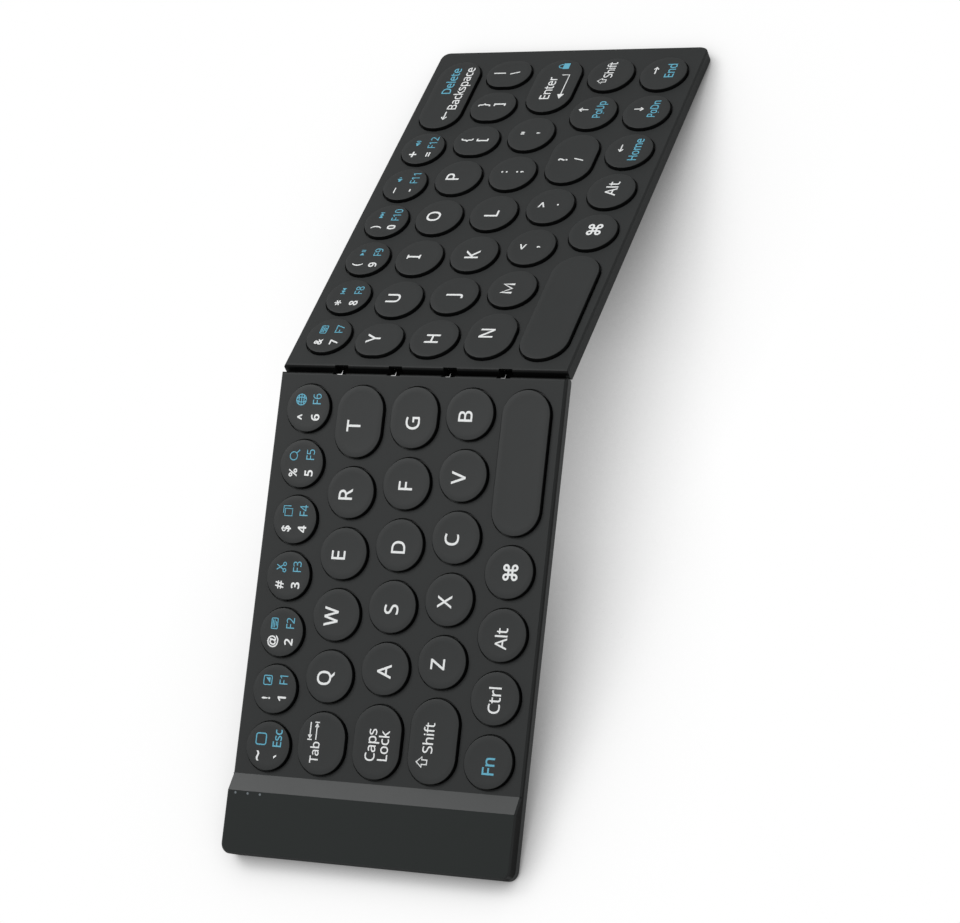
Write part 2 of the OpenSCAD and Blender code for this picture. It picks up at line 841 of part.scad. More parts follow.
// A flat shell with rounded ends, open to the rear, with a tongue inside
module charging_socket() {
    color([0.7, 0.7, 0.72])
        place("left")
            translate([socket_x + socket_w / 2, depth - socket_t, board_top + socket_h / 2])
                rotate([90, 0, 0]) {
                    linear_extrude(socket_l)
                        difference() {
                            stadium(socket_w, socket_h);
                            stadium(socket_w - 2 * socket_t, socket_h - 2 * socket_t);
                        }
                    translate([0, 0, socket_l - socket_t])
                        linear_extrude(socket_t)
                            stadium(socket_w, socket_h);
                    translate([-tongue[0] / 2, -tongue[2] / 2, socket_l - tongue[1]])
                        cube([tongue[0], tongue[2], tongue[1]]);
                }
}

module indicator_lenses() {
    color([0.85, 0.9, 0.95])
        place("left")
            for (i = [0:lens_count - 1])
                translate([lens_x, lens_y - i * lens_pitch, board_top + light[2]])
                    cylinder(h = block_rise - board_top - light[2], d = lens_d);
}

// The slider's outer face lies a little behind the case's rear face.
module power_switch_slider() {
    rib = 0.2;
    color([0.15, 0.15, 0.15])
        place("left")
            translate([knob_x, depth - fit - knob[1], board_top + switch_body[2] / 2 - knob[2] / 2])
                difference() {
                    cube(knob);
                    for (i = [1:3])
                        translate([i * knob[0] / 4 - rib / 2, knob[1] - rib, -over])
                            cube([rib, over, knob[2] + 2 * over]);
                }
}

// A hollow cap with a flange that holds it under the cover, and a stem over its dome
module key_cap(c) {
    w = c[2] - 2 * key_gap;
    h = c[3] - 2 * key_gap;
    translate([c[0], c[1], 0]) {
        difference() {
            union() {
                stadium_block(w, h, flange_z, key_proud, key_bevel);
                translate([0, 0, flange_z])
                    linear_extrude(flange_t)
                        stadium(c[2] + 2 * flange_over, c[3] + 2 * flange_over);
            }
            translate([0, 0, flange_z - over])
                linear_extrude(key_proud - cap_t - flange_z + over)
                    stadium(w - 2 * cap_t, h - 2 * cap_t);
        }
        translate([0, 0, stem_z])
            cylinder(h = key_proud - cap_t - stem_z, r = stem_r);
    }
}

module key_node(k) {
    color(k[1] == "left" ? [0.2, 0.21, 0.21] : [0.23, 0.23, 0.23])
        place(k[1])
            for (at = k[2])
                key_cap(cell(k[1], at[0], at[1]));
}

left_top_cover();
left_bottom_tray();
left_hinge_rail();
left_hinge_pins();
left_key_plate();
left_switch_sheet();
left_domes();
left_flex_cable();
left_feet();
left_screws();
controller_board();
battery();
charging_socket();
indicator_lenses();
power_switch_slider();
hinge_links();
hinge_flex_cable();
right_top_cover();
right_bottom_tray();
right_hinge_rail();
right_hinge_pins();
right_key_plate();
right_switch_sheet();
right_domes();
right_flex_cable();
right_feet();
right_screws();
for (k = KEYS)
    key_node(k);
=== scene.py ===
import json
import math

import bmesh
import bpy
from mathutils import Matrix, Vector


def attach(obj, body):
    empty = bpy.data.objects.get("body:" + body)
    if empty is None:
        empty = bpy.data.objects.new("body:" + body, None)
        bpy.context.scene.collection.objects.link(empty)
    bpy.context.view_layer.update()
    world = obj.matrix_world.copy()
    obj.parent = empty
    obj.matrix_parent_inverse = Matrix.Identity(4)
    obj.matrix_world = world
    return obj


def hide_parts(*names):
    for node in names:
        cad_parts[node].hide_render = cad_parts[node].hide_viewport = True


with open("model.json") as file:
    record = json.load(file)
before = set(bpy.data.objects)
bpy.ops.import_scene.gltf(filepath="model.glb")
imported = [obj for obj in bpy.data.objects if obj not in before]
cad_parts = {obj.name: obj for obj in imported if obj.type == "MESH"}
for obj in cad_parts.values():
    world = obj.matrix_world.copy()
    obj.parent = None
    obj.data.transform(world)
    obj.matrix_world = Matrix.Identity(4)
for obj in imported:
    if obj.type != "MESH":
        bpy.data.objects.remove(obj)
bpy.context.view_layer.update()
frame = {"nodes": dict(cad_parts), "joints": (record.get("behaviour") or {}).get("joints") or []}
nodes = frame["nodes"]

# ---- Studio ----
# A white floor that runs off into a white world. One big soft lamp stands high behind the
# keyboard, a weaker one stands over the block's end, and the world fills the shade.
WORLD_FILL = 0.42
FLOOR_SIZE = 6
# The floor's painted shade under the keyboard: how near a piece has to be, in metres, and how fast it
# darkens.
SHADE_REACH = 0.05
SHADE_POWER = 1.5


def srgb(code):
    """Turns a six-digit sRGB hex colour into linear red, green, blue and alpha."""
    parts = [int(code[i : i + 2], 16) / 255 for i in (0, 2, 4)]
    linear = [p / 12.92 if p <= 0.04045 else ((p + 0.055) / 1.055) ** 2.4 for p in parts]
    return (*linear, 1)


def add_node(tree, kind, links={}, **settings):
    """Adds a shader node. A link names an input, or counts it, and gives a value or a socket."""
    node = tree.nodes.new(kind)
    for name, value in settings.items():
        setattr(node, name, value)
    for name, value in links.items():
        if isinstance(value, bpy.types.NodeSocket):
            tree.links.new(value, node.inputs[name])
        else:
            node.inputs[name].default_value = value
    return node


def new_material(name, surface_of):
    """Makes a material whose surface is the shader that surface_of adds to its tree."""
    material = bpy.data.materials.new(name)
    material.use_nodes = True
    tree = material.node_tree
    tree.nodes.clear()
    shader = surface_of(tree)
    add_node(tree, "ShaderNodeOutputMaterial", {"Surface": shader.outputs[0]})
    return material


def world_light(tree):
    """White to the camera, and a dimmer white to everything that it lights."""
    path = add_node(tree, "ShaderNodeLightPath")
    fill = add_node(tree, "ShaderNodeBackground", {"Color": srgb("FFFFFF"), "Strength": WORLD_FILL})
    seen = add_node(tree, "ShaderNodeBackground", {"Color": srgb("FFFFFF"), "Strength": 1})
    return add_node(
        tree,
        "ShaderNodeMixShader",
        {0: path.outputs["Is Camera Ray"], 1: fill.outputs[0], 2: seen.outputs[0]},
    )


scene = bpy.context.scene
scene.view_settings.view_transform = "Standard"
world = bpy.data.worlds.new("white_studio")
world.use_nodes = True
world.node_tree.nodes.clear()
background = world_light(world.node_tree)
add_node(world.node_tree, "ShaderNodeOutputWorld", {"Surface": background.outputs[0]})
scene.world = world

# The camera stands where a camera fitted to the photograph's corners stands.
camera_data = bpy.data.cameras.new("camera")
camera_data.sensor_fit = "HORIZONTAL"
camera_data.sensor_width = 36
camera_data.lens = 122.04
camera_data.clip_end = 20
camera = bpy.data.objects.new("camera", camera_data)
scene.collection.objects.link(camera)
camera_right = Vector((0.226477, -0.89686, -0.379935))
camera_up = Vector((0.890897, 0.033068, 0.452999))
camera_back = Vector((-0.393713, -0.441077, 0.806499))
turn = Matrix((camera_right, camera_up, camera_back)).transposed()
camera.matrix_world = Matrix.Translation((-0.3834, -0.4242, 0.77294)) @ turn.to_4x4()
scene.camera = camera


def soft_lamp(name, place, target, size, watts):
    """A round area lamp at a place in metres, turned towards a target."""
    lamp_data = bpy.data.lights.new(name, "AREA")
    lamp_data.shape = "DISK"
    lamp_data.size = size
    lamp_data.energy = watts
    lamp = bpy.data.objects.new(name, lamp_data)
    scene.collection.objects.link(lamp)
    lamp.location = place
    lamp.rotation_euler = (Vector(target) - Vector(place)).to_track_quat("-Z", "Y").to_euler()


KEYBOARD_MIDDLE = (0, 0, 0.02)
soft_lamp("key_lamp", (0.4, 0.85, 1.2), KEYBOARD_MIDDLE, size=0.8, watts=12)
soft_lamp("fill_lamp", (-0.9, 0.1, 1.3), KEYBOARD_MIDDLE, size=1.2, watts=2)

bpy.ops.mesh.primitive_plane_add(size=FLOOR_SIZE, location=(0, 0, 0))
floor = bpy.context.active_object
floor.name = "studio_floor"


def matt_floor(tree):
    """Matt white paint that glows plain white to the camera. Under the keyboard it carries painted
    shade: ambient occlusion darkens its colour and dims its glow.
    """
    path = add_node(tree, "ShaderNodeLightPath")
    # Painted shade: the paint's colour is darkened where pieces stand close over the floor.
    painted_floor_shade = add_node(
        tree, "ShaderNodeAmbientOcclusion", {"Color": srgb("F4F4F4"), "Distance": SHADE_REACH}
    )
    paint = add_node(tree, "ShaderNodeBsdfDiffuse", {"Color": painted_floor_shade.outputs["Color"]})
    glow = add_node(tree, "ShaderNodeEmission", {"Color": srgb("FFFFFF"), "Strength": 1})
    bright = add_node(
        tree, "ShaderNodeMath", {0: painted_floor_shade.outputs["AO"], 1: SHADE_POWER}, operation="POWER"
    )
    share = add_node(
        tree,
        "ShaderNodeMath",
        {0: path.outputs["Is Camera Ray"], 1: bright.outputs[0]},
        operation="MULTIPLY",
    )
    return add_node(
        tree,
        "ShaderNodeMixShader",
        {0: share.outputs[0], 1: paint.outputs[0], 2: glow.outputs[0]},
    )


floor.data.materials.append(new_material("matt_white_floor", matt_floor))

# ---- Case ----
# Each half is a tray and a top cover, moulded in charcoal ABS and joined by screws from below.
# The moulds are finely spark-eroded, so the faces are matt. The left cover's block top is painted
# darker than the case as painted shade, and its ramp lighter as a painted highlight.
# The left tray is painted lighter than the right one as painted light. The left cover's outer sides
# and both covers' edges at the hinge are painted black as painted shade.
MM = 0.001
# In a half's own millimetres: the hinge axis behind its edge and under its face, and the half.
AXIS_IN = 2.8748
AXIS_DROP = 1.925
DEPTH = 91
HALF_L = 140


def half_frame(side):
    """From a half's own millimetres, with its key face level and x pointing right, to the frame."""
    joints = {joint["name"]: joint for joint in frame["joints"]}
    fold = joints["fold_hinge" if side == "left" else "fold_right"]
    press = joints["key_space_" + side + "_press"]
    lean = math.asin(-press["axis"][0])
    inward = AXIS_IN if side == "left" else -AXIS_IN
    return (
        Matrix.Translation(fold["pos_m"])
        @ Matrix.Rotation(lean, 4, "Y")
        @ Matrix.Scale(MM, 4)
        @ Matrix.Translation((inward, -DEPTH / 2, AXIS_DROP))
    )


FRAMES = {side: half_frame(side) for side in ("left", "right")}


def millimetres(tree, pattern_mm):
    """Object coordinates scaled so that a texture of scale 1 repeats each pattern_mm."""
    place = add_node(tree, "ShaderNodeTexCoord")
    size = 1 / (pattern_mm * MM)
    mapping = add_node(
        tree,
        "ShaderNodeMapping",
        {"Vector": place.outputs["Object"], "Scale": (size,) * 3},
    )
    return mapping.outputs[0]


def moulded_plastic(dark, light, roughness, grain_mm, depth_mm, blotch_mm=22, specular=0.5):
    """Moulded plastic: a grain left by the mould, and slow, faint changes of tone and gloss."""

    def surface(tree):
        blotch = add_node(
            tree,
            "ShaderNodeTexNoise",
            {"Vector": millimetres(tree, blotch_mm), "Scale": 1, "Detail": 3},
        )
        tone = add_node(
            tree,
            "ShaderNodeMix",
            {0: blotch.outputs["Fac"], 6: srgb(dark), 7: srgb(light)},
            data_type="RGBA",
        )
        gloss = add_node(
            tree,
            "ShaderNodeMapRange",
            {"Value": blotch.outputs["Fac"], 3: roughness - 0.05, 4: roughness + 0.05},
        )
        grain = add_node(
            tree,
            "ShaderNodeTexNoise",
            {"Vector": millimetres(tree, grain_mm), "Scale": 1, "Detail": 2},
        )
        bump = add_node(
            tree,
            "ShaderNodeBump",
            {"Height": grain.outputs["Fac"], "Strength": 0.5, "Distance": depth_mm * MM},
        )
        return add_node(
            tree,
            "ShaderNodeBsdfPrincipled",
            {
                "Base Color": tone.outputs[2],
                "Roughness": gloss.outputs[0],
                "IOR": 1.53,
                "Specular IOR Level": specular,
                "Normal": bump.outputs[0],
            },
        )

    return surface


# ABS: a mould grain of 0.35 mm, about the finest that shows in the render.
GRAIN = 0.35
case_abs = new_material(
    "spark_eroded_abs", moulded_plastic("272929", "2D2F2F", 0.6, GRAIN, 0.03, specular=0.25)
)
# Painted shade and painted highlight: the block top's darker colour and the ramp's lighter colour
# stand in for how the lamps light them.
block_painted_shade_abs = new_material(
    "spark_eroded_block", moulded_plastic("191E1D", "1E2322", 0.6, GRAIN, 0.03, specular=0.25)
)
ramp_painted_highlight_abs = new_material(
    "spark_eroded_ramp", moulded_plastic("393B3B", "3F4141", 0.5, GRAIN, 0.02, specular=0.35)
)
# Painted light: the left tray's lighter grey stands in for light on its wall, and the right tray keeps
# the case's colour.
tray_painted_light_abs = new_material("spark_eroded_grey_abs", moulded_plastic("363838", "3C3E3E", 0.6, GRAIN, 0.03))
# Black painted shade for the covers' outer sides and hinge edges, and for the keys' sides.
painted_shade_abs = new_material(
    "black_abs", moulded_plastic("0A0B0B", "0E0F0F", 0.5, GRAIN, 0.01, specular=0.15)
)


def give(node, material):
    """Puts a material in every slot of a CAD node."""
    for slot in nodes[node].material_slots:
        slot.material = material


def paint_faces(node, side, material, test):
    """Gives the faces of a cover that pass the test a material of their own."""
    data = nodes[node].data
    data.materials.append(material)
    upright = FRAMES[side].inverted()
    for face in data.polygons:
        normal = (upright.to_3x3() @ face.normal).normalized()
        if test(upright @ face.center, normal):
            face.material_index = len(data.materials) - 1


# Which faces are meant: how near they lie to an edge, and how far they look up.
SIDE_BAND, SIDE_UP = 0.6, 0.6
HINGE_BAND, HINGE_UP = 0.9, 0.85
RAMP_FROM, BLOCK_FROM = 0.1, 2.2
LEVEL_UP, RAMP_UP = 0.8, 0.95


def is_outer_side(centre, normal):
    edge = min(centre.y, DEPTH - centre.y, HALF_L - abs(centre.x))
    return edge < SIDE_BAND and abs(normal.z) < SIDE_UP


def is_hinge_edge(centre, normal):
    return abs(centre.x) < HINGE_BAND and normal.z < HINGE_UP


def is_block_top(centre, normal):
    return centre.z > BLOCK_FROM and normal.z > LEVEL_UP


def is_ramp(centre, normal):
    return RAMP_FROM < centre.z < BLOCK_FROM and LEVEL_UP < normal.z < RAMP_UP


# Black painted shade goes on both covers' hinge edges here, and on the left cover's outer sides below.
for side in ("left", "right"):
    give(side + "_top_cover", case_abs)
    give(side + "_bottom_tray", tray_painted_light_abs if side == "left" else case_abs)
    paint_faces(side + "_top_cover", side, painted_shade_abs, is_hinge_edge)
# The left cover's block top gets a darker painted shade, and its ramp gets a lighter painted
# highlight.
for material, test in ((painted_shade_abs, is_outer_side), (block_painted_shade_abs, is_block_top), (ramp_painted_highlight_abs, is_ramp)):
    paint_faces("left_top_cover", "left", material, test)

# ---- Keys ----
# Round caps, and longer ones with full-round ends, moulded in ABS with a satin charcoal top. Their
# sides are painted black as painted shade. Each has a soft top edge and a shallow dish, a flange that
# holds it under the cover, and a stem. The openings are laid out row by row, in a half's own
# millimetres.
PITCH_X, PITCH_Y = 17.6, 17.5
HOLE, NUMBER_HOLE, NARROW = 15.8, 14.9, 14
TAB_W, CAPS_W, N_W = 18.7, 21.9, 18.8
FRONT_MARGIN, HINGE_MARGIN = 2.8, 3.4
LEFT_FIELD, RIGHT_FIELD = 112.8, 130.9
GAP_X = PITCH_X - HOLE
NUMBER_PITCH = (LEFT_FIELD - NUMBER_HOLE) / 6
NUMBER_INSET = 0.8
NUMBER_ROW = 4


def run(count, start, width, step):
    """Like openings in a row, each as its start and width."""
    return [(start + i * step, width) for i in range(count)]


def to_end(start, field):
    """One opening that fills the row from its start to the field's end."""
    return [(start, field - start)]


LEFT_SHIFT_W = LEFT_FIELD - 5 * PITCH_X
SPACE_W = RIGHT_FIELD - 5 * PITCH_X
ARROWS = RIGHT_FIELD - 2 * PITCH_X + GAP_X
SLASH = N_W + GAP_X + 3 * PITCH_X
BRACKETS = NARROW + GAP_X + 4 * PITCH_X
NUMBERS_END = NUMBER_INSET + 6 * NUMBER_PITCH
ROWS = {
    "left": [
        run(4, 0, HOLE, PITCH_X) + to_end(4 * PITCH_X, LEFT_FIELD),
        [(0, LEFT_SHIFT_W)] + run(5, LEFT_SHIFT_W + GAP_X, HOLE, PITCH_X),
        [(0, CAPS_W)]
        + run(4, CAPS_W + GAP_X, HOLE, PITCH_X)
        + to_end(CAPS_W + GAP_X + 4 * PITCH_X, LEFT_FIELD),
        [(0, TAB_W)]
        + run(4, TAB_W + GAP_X, HOLE, PITCH_X)
        + to_end(TAB_W + GAP_X + 4 * PITCH_X, LEFT_FIELD),
        run(7, 0, NUMBER_HOLE, NUMBER_PITCH),
    ],
    "right": [
        [(0, SPACE_W)] + run(5, SPACE_W + GAP_X, HOLE, PITCH_X),
        [(0, N_W)]
        + run(3, N_W + GAP_X, HOLE, PITCH_X)
        + [(SLASH, ARROWS - GAP_X - SLASH)]
        + run(2, ARROWS, HOLE, PITCH_X),
        run(6, 0, HOLE, PITCH_X) + to_end(6 * PITCH_X, RIGHT_FIELD),
        [(0, NARROW)]
        + run(4, NARROW + GAP_X, HOLE, PITCH_X)
        + run(2, BRACKETS, NARROW, NARROW + GAP_X)
        + to_end(BRACKETS + 2 * (NARROW + GAP_X), RIGHT_FIELD),
        run(6, NUMBER_INSET, NUMBER_HOLE, NUMBER_PITCH) + to_end(NUMBERS_END, RIGHT_FIELD),
    ],
}


def cell(side, row, number):
    """Middle and opening size of one key, in its half's own millimetres."""
    start, width = ROWS[side][row][number]
    height = NUMBER_HOLE if row == NUMBER_ROW else HOLE
    along = start + width / 2
    x = along - LEFT_FIELD - HINGE_MARGIN if side == "left" else HINGE_MARGIN + along
    return x, FRONT_MARGIN + row * PITCH_Y + height / 2, width, height


# Which openings each key node fills: its half, and the row and number of each cap.
KEYS = {}
for row, letters in enumerate(("zxcvb", "asdfg", "qwert")):
    for i, letter in enumerate(letters):
        KEYS["key_" + letter] = ("left", [(row + 1, i + 1)])
KEYS["key_space_left"] = ("left", [(0, 4)])
KEYS["keys_left_edge"] = ("left", [(0, 0), (0, 1), (0, 2), (0, 3), (1, 0), (2, 0), (3, 0)])
KEYS["keys_left_numbers"] = ("left", [(NUMBER_ROW, i) for i in range(7)])
for row, letters in enumerate(("nm", "hjkl", "yuiop")):
    for i, letter in enumerate(letters):
        KEYS["key_" + letter] = ("right", [(row + 1, i)])
KEYS["key_space_right"] = ("right", [(0, 0)])
KEYS["key_enter"] = ("right", [(2, 6)])
KEYS["keys_right_edge"] = (
    "right",
    [(0, i) for i in range(1, 6)]
    + [(1, i) for i in range(2, 7)]
    + [(2, 4), (2, 5), (3, 5), (3, 6), (3, 7)],
)
KEYS["keys_right_numbers"] = ("right", [(NUMBER_ROW, i) for i in range(7)])

KEY_GAP = 0.5
KEY_PROUD = 1.0
EDGE_ROUND = 0.15
CAP_WALL = 0.8
FLANGE_OVER = 0.25
FLANGE_TOP, FLANGE_T = -1.0, 0.5
STEM_R, STEM_LOW = 1.8, -1.4
ROUND_FACES = 64
SMOOTH_DEGREES = 28
# Cap faces that look up less than this are painted black as painted shade.
SKIRT_UP = 0.5
# A face is level when its normal is this close to upright, and an edge lies at a height within NEAR.
LEVEL = 0.999
NEAR = 0.01
# The dish: how far in from the soft edge each ring lies, and how far down.
DISH = [(0, 0), (1.6, 0.05), (3.8, 0.09)]


def deselect_all():
    bpy.ops.object.select_all(action="DESELECT")


def picking(piece, verts=False, edges=False, faces=False):
    """The mesh in edit mode, in the asked select mode and with nothing selected."""
    mesh = bmesh.from_edit_mesh(piece.data)
    bpy.context.tool_settings.mesh_select_mode = (verts, edges, faces)
    for part in (mesh.verts, mesh.edges, mesh.faces):
        for item in part:
            item.select = False
    return mesh


def pick_faces(piece, test):
    """Selects only the faces whose normal passes the test."""
    for face in picking(piece, faces=True).faces:
        if test(face.normal):
            face.select_set(True)
    bmesh.update_edit_mesh(piece.data)


def pick_edges(piece, test):
    """Selects only the edges whose two ends pass the test."""
    for edge in picking(piece, edges=True).edges:
        if test(edge.verts[0].co) and test(edge.verts[1].co):
            edge.select_set(True)
    bmesh.update_edit_mesh(piece.data)


def pick_verts(piece, test):
    """Selects only the vertices whose place passes the test."""
    mesh = picking(piece, verts=True)
    for vert in mesh.verts:
        if test(vert.co):
            vert.select_set(True)
    mesh.select_flush(True)
    bmesh.update_edit_mesh(piece.data)


def join(pieces, name):
    """Joins pieces into one, and names it."""
    deselect_all()
    for piece in pieces:
        piece.select_set(True)
    bpy.context.view_layer.objects.active = pieces[0]
    if len(pieces) > 1:
        bpy.ops.object.join()
    pieces[0].name = name
    pieces[0].data.name = name
    return pieces[0]


def move(x=0, y=0, z=0):
    """Moves what is selected in edit mode."""
    bpy.ops.transform.translate(value=(x, y, z))


def make_cap(width, height):
    """One key cap, in millimetres, with its middle at the origin and the cover's face at z = 0."""
    radius = min(width, height) / 2 - KEY_GAP
    deselect_all()
    bpy.ops.mesh.primitive_cylinder_add(
        vertices=ROUND_FACES,
        radius=radius,
        depth=KEY_PROUD - FLANGE_TOP,
        location=(0, 0, (KEY_PROUD + FLANGE_TOP) / 2),
        rotation=(0, 0, math.pi / ROUND_FACES),
    )
    cap = bpy.context.active_object
    bpy.ops.object.transform_apply()
    bpy.ops.object.mode_set(mode="EDIT")
    pick_edges(cap, lambda v: v.z > KEY_PROUD - NEAR)
    bpy.ops.mesh.bevel(offset=EDGE_ROUND, segments=4)
    pick_faces(cap, lambda n: n.z > LEVEL)
    for (near, high), (far, low) in zip(DISH, DISH[1:]):
        bpy.ops.mesh.inset(thickness=far - near)
        move(z=high - low)
    pick_faces(cap, lambda n: n.z < -LEVEL)
    flange = (radius + KEY_GAP + FLANGE_OVER) / radius
    bpy.ops.mesh.extrude_region_move(TRANSFORM_OT_translate={"value": (0, 0, 0)})
    bpy.ops.transform.resize(value=(flange, flange, 1), center_override=(0, 0, FLANGE_TOP))
    bpy.ops.mesh.extrude_region_move(TRANSFORM_OT_translate={"value": (0, 0, -FLANGE_T)})
    bpy.ops.mesh.inset(thickness=KEY_GAP + FLANGE_OVER + CAP_WALL)
    ceiling = KEY_PROUD - CAP_WALL
    bpy.ops.mesh.extrude_region_move(
        TRANSFORM_OT_translate={"value": (0, 0, ceiling - FLANGE_TOP + FLANGE_T)}
    )
    for longer, axis in ((width - height, 0), (height - width, 1)):
        for way in (-1, 1):
            if longer > 0:
                pick_verts(cap, lambda v: v[axis] * way > 0)
                move(**{"xy"[axis]: way * longer / 2})
    bpy.ops.object.mode_set(mode="OBJECT")
    deselect_all()
    stem_top = ceiling + CAP_WALL / 4
    bpy.ops.mesh.primitive_cylinder_add(
        vertices=ROUND_FACES // 2,
        radius=STEM_R,
        depth=stem_top - STEM_LOW,
        location=(0, 0, (stem_top + STEM_LOW) / 2),
    )
    stem = bpy.context.active_object
    bpy.ops.object.transform_apply()
    bpy.ops.object.mode_set(mode="EDIT")
    pick_edges(stem, lambda v: v.z < STEM_LOW + NEAR)
    bpy.ops.mesh.bevel(offset=EDGE_ROUND, segments=2)
    bpy.ops.object.mode_set(mode="OBJECT")
    cap = join([cap, stem], "cap")
    bpy.ops.object.shade_smooth_by_angle(angle=math.radians(SMOOTH_DEGREES))
    return cap


def copy_at(piece, x, y):
    """A copy with its own mesh, moved within that mesh."""
    twin = piece.copy()
    twin.data = piece.data.copy()
    scene.collection.objects.link(twin)
    twin.data.transform(Matrix.Translation((x, y, 0)))
    return twin


def body_of(node):
    return node + ("_caps" if node.startswith("keys_") else "_cap")


key_abs = new_material(
    "satin_abs", moulded_plastic("2B2D2D", "303232", 0.5, 0.3, 0.02, specular=0.25)
)
patterns = {}
for node, (side, places) in KEYS.items():
    caps = []
    for row, number in places:
        x, y, width, height = cell(side, row, number)
        size = (round(width, 3), round(height, 3))
        if size not in patterns:
            patterns[size] = make_cap(width, height)
        caps.append(copy_at(patterns[size], x, y))
    caps = join(caps, "caps_" + node)
    caps.data.materials.clear()
    caps.data.materials.append(key_abs)
    caps.data.materials.append(painted_shade_abs)
    # Key sides that look away from the top get the black painted shade.
    for face in caps.data.polygons:
        face.material_index = 1 if face.normal.z < SKIRT_UP else 0
    caps.data.transform(FRAMES[side])
    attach(caps, body_of(node))
    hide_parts(node)
for pattern in patterns.values():
    bpy.data.objects.remove(pattern)

# ---- Legends ----
# Words, letters and signs are pad-printed on the keys in white, and the second functions in light
# blue. The ink lies a hundredth of a millimetre or two over the dished key. Every legend is given
# in millimetres from its key's middle: its place, its height, and how much thicker it is made.
INK_T = 0.012
# The height of a capital as a share of the font's size, and the share of its usual letter spacing
CAP_HEIGHT = 0.682
WORD_SPACE = 0.96


def printed_ink(colour):
    """Pad-printing ink: flat and slightly glossy, a little uneven where the pad pressed."""

    def surface(tree):
        patches = add_node(
            tree,
            "ShaderNodeTexNoise",
            {"Vector": millimetres(tree, 0.5), "Scale": 1, "Detail": 1},
        )
        gloss = add_node(
            tree, "ShaderNodeMapRange", {"Value": patches.outputs["Fac"], 3: 0.4, 4: 0.55}
        )
        return add_node(
            tree,
            "ShaderNodeBsdfPrincipled",
            {"Base Color": srgb(colour), "Roughness": gloss.outputs[0], "IOR": 1.5},
        )

    return surface


INKS = {
    "white": new_material("white_pad_print", printed_ink("F2F4F4")),
    "blue": new_material("light_blue_pad_print", printed_ink("62B4CE")),
}


def cap_top(x, y, width, height):
    """Height of the dished key top at a place counted from the key's middle."""
    along = max(0, abs(x) - max(0, width - height) / 2)
    up = max(0, abs(y) - max(0, height - width) / 2)
    inset = min(width, height) / 2 - KEY_GAP - EDGE_ROUND - math.hypot(along, up)
    for (near, high), (far, low) in zip(DISH, DISH[1:]):
        if inset < far:
            return KEY_PROUD - high - (low - high) * max(0, inset - near) / (far - near)
    return KEY_PROUD - DISH[-1][1]


def print_sign(body, x, y, tall, ink="white", wide=1, bold=0.035, on_line=True):
    """One printed word or sign. Words stand on a line, and signs are centred on their place."""
    deselect_all()
    bpy.ops.object.text_add()
    sign = bpy.context.active_object
    sign.data.body = body
    sign.data.size = tall / CAP_HEIGHT
    sign.data.resolution_u = 3
    sign.data.extrude = INK_T
    sign.data.offset = bold
    sign.data.space_character = WORD_SPACE
    bpy.ops.object.convert(target="MESH")
    spots = [v.co for v in sign.data.vertices]
    low = [min(s[i] for s in spots) for i in range(2)]
    high = [max(s[i] for s in spots) for i in range(2)]
    middle = tall / 2 if on_line else (low[1] + high[1]) / 2
    shift = Matrix.Translation((-(low[0] + high[0]) / 2, -middle, 0))
    sign.data.transform(Matrix.Translation((x, y, 0)) @ Matrix.Scale(wide, 4, (1, 0, 0)) @ shift)
    sign.data.materials.append(INKS[ink])
    return sign


def print_lines(paths, x, y, tall, ink="white", wide=1, bold=0.4):
    """A sign drawn with a round pen in a square from -1 to 1. A path that starts solid is filled."""
    parts = []
    for path in paths:
        solid = path[0] == "solid"
        points = path[1:] if solid else path
        closed = solid or points[0] == points[-1]
        points = points[:-1] if points[0] == points[-1] else points
        line = bpy.data.curves.new("line", "CURVE")
        line.dimensions = "2D" if solid else "3D"
        spline = line.splines.new("POLY")
        spline.points.add(len(points) - 1)
        for point, (across, up) in zip(spline.points, points):
            point.co = (x + across * wide * tall / 2, y + up * tall / 2, 0, 1)
        spline.use_cyclic_u = closed
        if solid:
            line.fill_mode = "BOTH"
            line.extrude = INK_T
        else:
            line.bevel_depth = bold / 2
            line.bevel_resolution = 1
            line.use_fill_caps = True
        part = bpy.data.objects.new("line", line)
        scene.collection.objects.link(part)
        deselect_all()
        part.select_set(True)
        bpy.context.view_layer.objects.active = part
        bpy.ops.object.convert(target="MESH")
        if not solid:
            part.data.transform(Matrix.Scale(2 * INK_T / bold, 4, (0, 0, 1)))
        part.data.materials.append(INKS[ink])
        parts.append(part)
    return join(parts, "sign")


def arc(x, y, across, up, start, end, steps=12):
    """Points along an ellipse's arc, from one angle to another in degrees."""
    turns = [math.radians(start + (end - start) * i / steps) for i in range(steps + 1)]
    return [(x + across * math.cos(t), y + up * math.sin(t)) for t in turns]


def ring(x, y, across, up):
    """A closed ellipse."""
    points = arc(x, y, across, up, 0, 360, 16)
    return points[:-1] + points[:1]


def box(left, low, right, high):
    return [(left, low), (right, low), (right, high), (left, high), (left, low)]


def round_box(left, low, right, high, r):
    corners = (
        arc(right - r, high - r, r, r, 0, 90, 4)
        + arc(left + r, high - r, r, r, 90, 180, 4)
        + arc(left + r, low + r, r, r, 180, 270, 4)
        + arc(right - r, low + r, r, r, 270, 360, 4)
    )
    return corners + corners[:1]


def mirrored(paths):
    """The same sign with left and right changed over."""
    return [[p if p == "solid" else (-p[0], p[1]) for p in path] for path in paths]


ARROW = [[(1, 0), (-0.9, 0)], [(-0.35, 0.5), (-1, 0), (-0.35, -0.5)]]
UP_ARROW = [[(0, -1), (0, 0.9)], [(-0.5, 0.35), (0, 1), (0.5, 0.35)]]
TO_BAR = [
    [(-1, 0.55), (-1, -0.55)],
    [(1, 0), (-0.8, 0)],
    [(-0.45, 0.4), (-0.85, 0), (-0.45, -0.4)],
]
BACK = [["solid", (-0.9, 0), (0, 0.6), (0, -0.6)], ["solid", (0, 0), (0.9, 0.6), (0.9, -0.6)]]
SPEAKER = [["solid", (-1, -0.3), (-0.55, -0.3), (0, -0.8), (0, 0.8), (-0.55, 0.3), (-1, 0.3)]]
